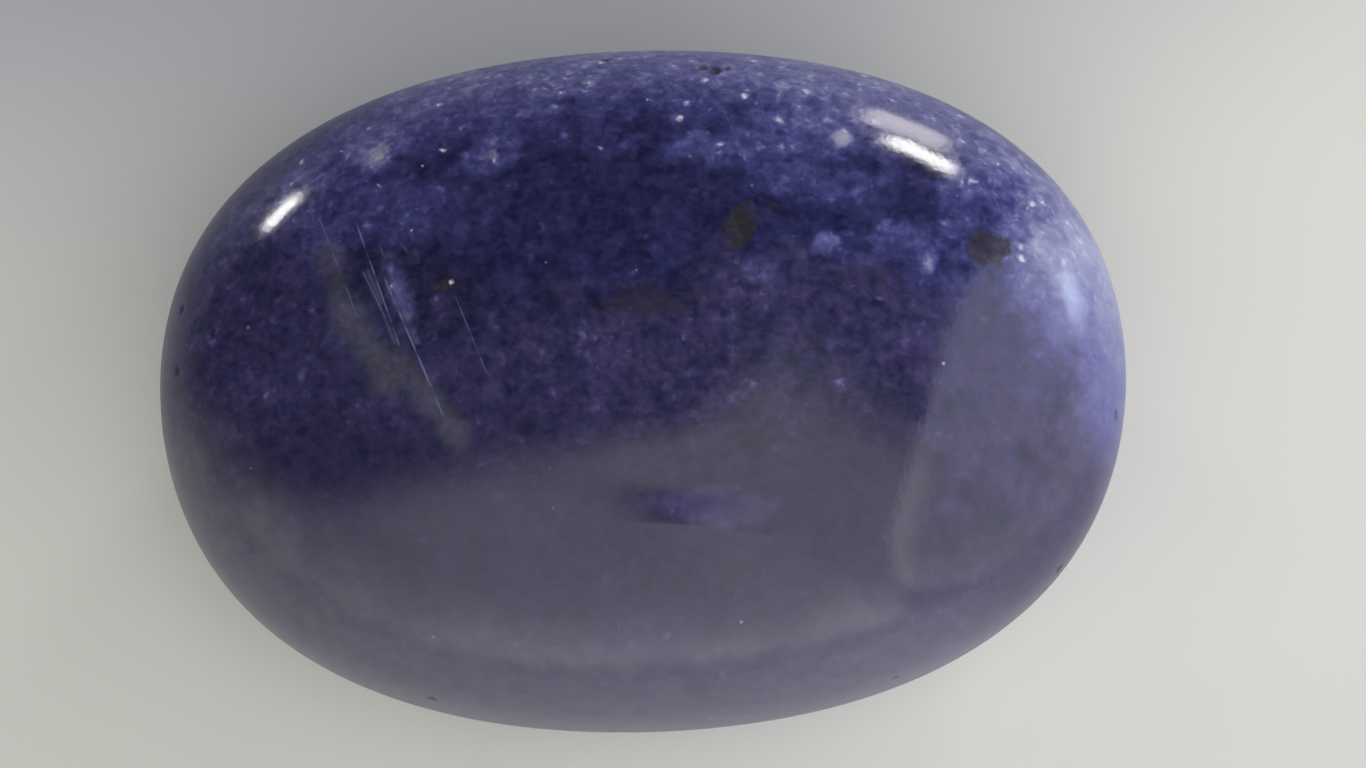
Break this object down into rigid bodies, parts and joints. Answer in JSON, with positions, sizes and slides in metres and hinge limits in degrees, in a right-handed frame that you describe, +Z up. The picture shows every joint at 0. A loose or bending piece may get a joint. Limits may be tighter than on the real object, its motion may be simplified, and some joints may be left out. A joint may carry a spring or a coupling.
{
  "type": "polished lapis lazuli stone",
  "caption": "Polished oval palm stone of deep blue lapis lazuli with paler clouds and gold flecks, domed on both faces, that lies on a small flat spot.",
  "frame": {"origin": "middle of the underside, on the surface that the stone lies on", "axes": "+X along the stone's longest way, +Y across its face, +Z up through its thickness"},
  "size_m": [0.05, 0.0356, 0.0206],
  "materials": {
    "lapis": "polished"
  },
  "bodies": {
    "root": {"lapis_stone": "lapis"}
  },
  "joints": []
}
